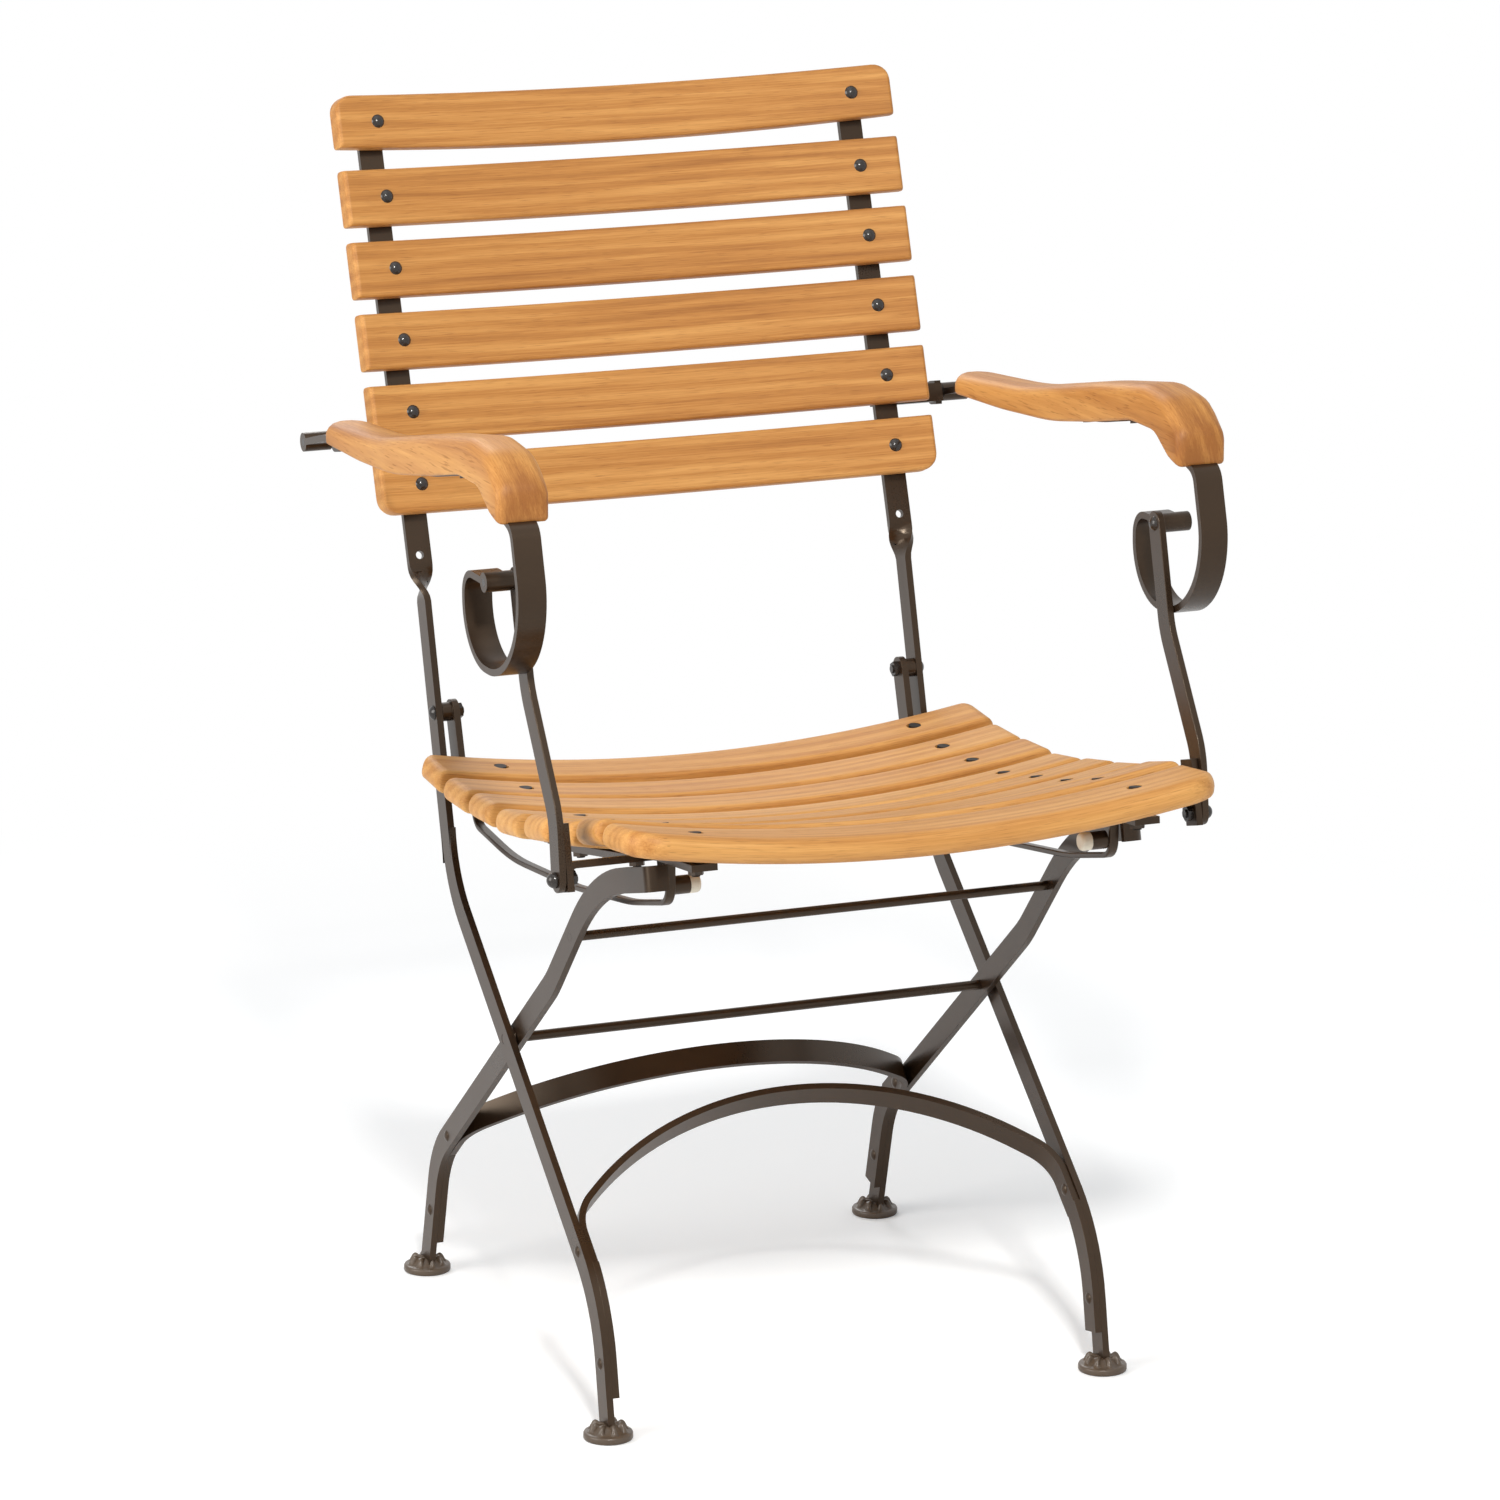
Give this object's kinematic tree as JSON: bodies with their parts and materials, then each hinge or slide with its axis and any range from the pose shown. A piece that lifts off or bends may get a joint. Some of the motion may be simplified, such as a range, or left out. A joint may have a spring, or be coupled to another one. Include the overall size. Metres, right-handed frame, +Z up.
{
  "type": "folding armchair",
  "caption": "Folding garden armchair: slatted teak back and hollow slatted seat on a scissor frame of dark flat steel bars, teak armrests on curled straps.",
  "frame": {"origin": "on the floor, under the middle of the whole outline of the open chair", "axes": "+X to the sitter's left (right in a front view), -Y is the front of the chair, +Z up"},
  "size_m": [0.5476, 0.6259, 0.8905],
  "materials": {
    "teak": "oiled, satin",
    "powder_coated_steel": "satin powder coat",
    "black_bolts": "glossy",
    "dark_screws": "satin",
    "foot_plastic": "matte",
    "pale_plastic": "matte"
  },
  "bodies": {
    "back_frame": {"upright_right": "powder_coated_steel", "upright_left": "powder_coated_steel", "back_slat_1": "teak", "back_slat_2": "teak", "back_slat_3": "teak", "back_slat_4": "teak", "back_slat_5": "teak", "back_slat_6": "teak", "back_bolts": "black_bolts", "back_nuts": "black_bolts", "front_foot_right": "foot_plastic", "front_foot_left": "foot_plastic", "front_arch": "powder_coated_steel", "front_arch_rivets": "powder_coated_steel", "leg_pivot_washers": "powder_coated_steel", "arm_bracket_right": "powder_coated_steel", "arm_bracket_left": "powder_coated_steel", "arm_bracket_rivets": "powder_coated_steel", "arm_pivot_bolts": "black_bolts"},
    "leg_frame": {"rear_leg_right": "powder_coated_steel", "rear_leg_left": "powder_coated_steel", "pivot_axle": "powder_coated_steel", "upper_cross_rod": "powder_coated_steel", "rear_arch": "powder_coated_steel", "rear_arch_rivets": "powder_coated_steel", "rear_foot_right": "foot_plastic", "rear_foot_left": "foot_plastic"},
    "seat": {"seat_rail_right": "powder_coated_steel", "seat_rail_left": "powder_coated_steel", "seat_slat_1": "teak", "seat_slat_2": "teak", "seat_slat_3": "teak", "seat_slat_4": "teak", "seat_slat_5": "teak", "seat_slat_6": "teak", "seat_slat_7": "teak", "seat_slat_8": "teak", "seat_bolts": "dark_screws", "seat_nuts": "dark_screws", "seat_lug_right": "powder_coated_steel", "seat_lug_left": "powder_coated_steel", "guide_rod_right": "powder_coated_steel", "guide_rod_left": "powder_coated_steel", "strut_bracket_right": "powder_coated_steel", "strut_bracket_left": "powder_coated_steel", "guide_stubs": "powder_coated_steel", "guide_caps": "pale_plastic", "seat_rivets": "powder_coated_steel", "seat_pivot_bolts": "black_bolts", "strut_bracket_bolts": "black_bolts"},
    "arm_left": {"armrest_left": "teak", "arm_strap_left": "powder_coated_steel", "armrest_screws_left": "dark_screws"},
    "arm_right": {"armrest_right": "teak", "arm_strap_right": "powder_coated_steel", "armrest_screws_right": "dark_screws"},
    "strut_left": {"strut_left": "powder_coated_steel", "strut_bolt_left": "black_bolts"},
    "strut_right": {"strut_right": "powder_coated_steel", "strut_bolt_right": "black_bolts"}
  },
  "joints": [
    {"name": "seat_fold", "type": "hinge", "parent": "back_frame", "child": "seat", "pos_m": [0, 0.16264, 0.4492], "axis": [-1, 0, 0], "range_deg": [0, 79]},
    {"name": "leg_fold", "type": "hinge", "parent": "back_frame", "child": "leg_frame", "pos_m": [0, 0.01913, 0.2384], "axis": [-1, 0, 0], "range_deg": [0, 64.2]},
    {"name": "arm_fold_left", "type": "hinge", "parent": "back_frame", "child": "arm_left", "pos_m": [0, 0.24063, 0.643], "axis": [-1, 0, 0], "range_deg": [0, 79]},
    {"name": "strut_fold_left", "type": "hinge", "parent": "arm_left", "child": "strut_left", "pos_m": [0, -0.14757, 0.6178], "axis": [-1, 0, 0], "range_deg": [-79, 0]},
    {"name": "arm_fold_right", "type": "hinge", "parent": "back_frame", "child": "arm_right", "pos_m": [0, 0.24063, 0.643], "axis": [-1, 0, 0], "range_deg": [0, 79]},
    {"name": "strut_fold_right", "type": "hinge", "parent": "arm_right", "child": "strut_right", "pos_m": [0, -0.14757, 0.6178], "axis": [-1, 0, 0], "range_deg": [-79, 0]}
  ],
  "couplings": [
    {"joint": "leg_fold", "follows": "seat_fold", "ratio": 0.806},
    {"joint": "arm_fold_left", "follows": "seat_fold", "ratio": 1},
    {"joint": "strut_fold_left", "follows": "seat_fold", "ratio": -1},
    {"joint": "arm_fold_right", "follows": "seat_fold", "ratio": 1},
    {"joint": "strut_fold_right", "follows": "seat_fold", "ratio": -1}
  ]
}
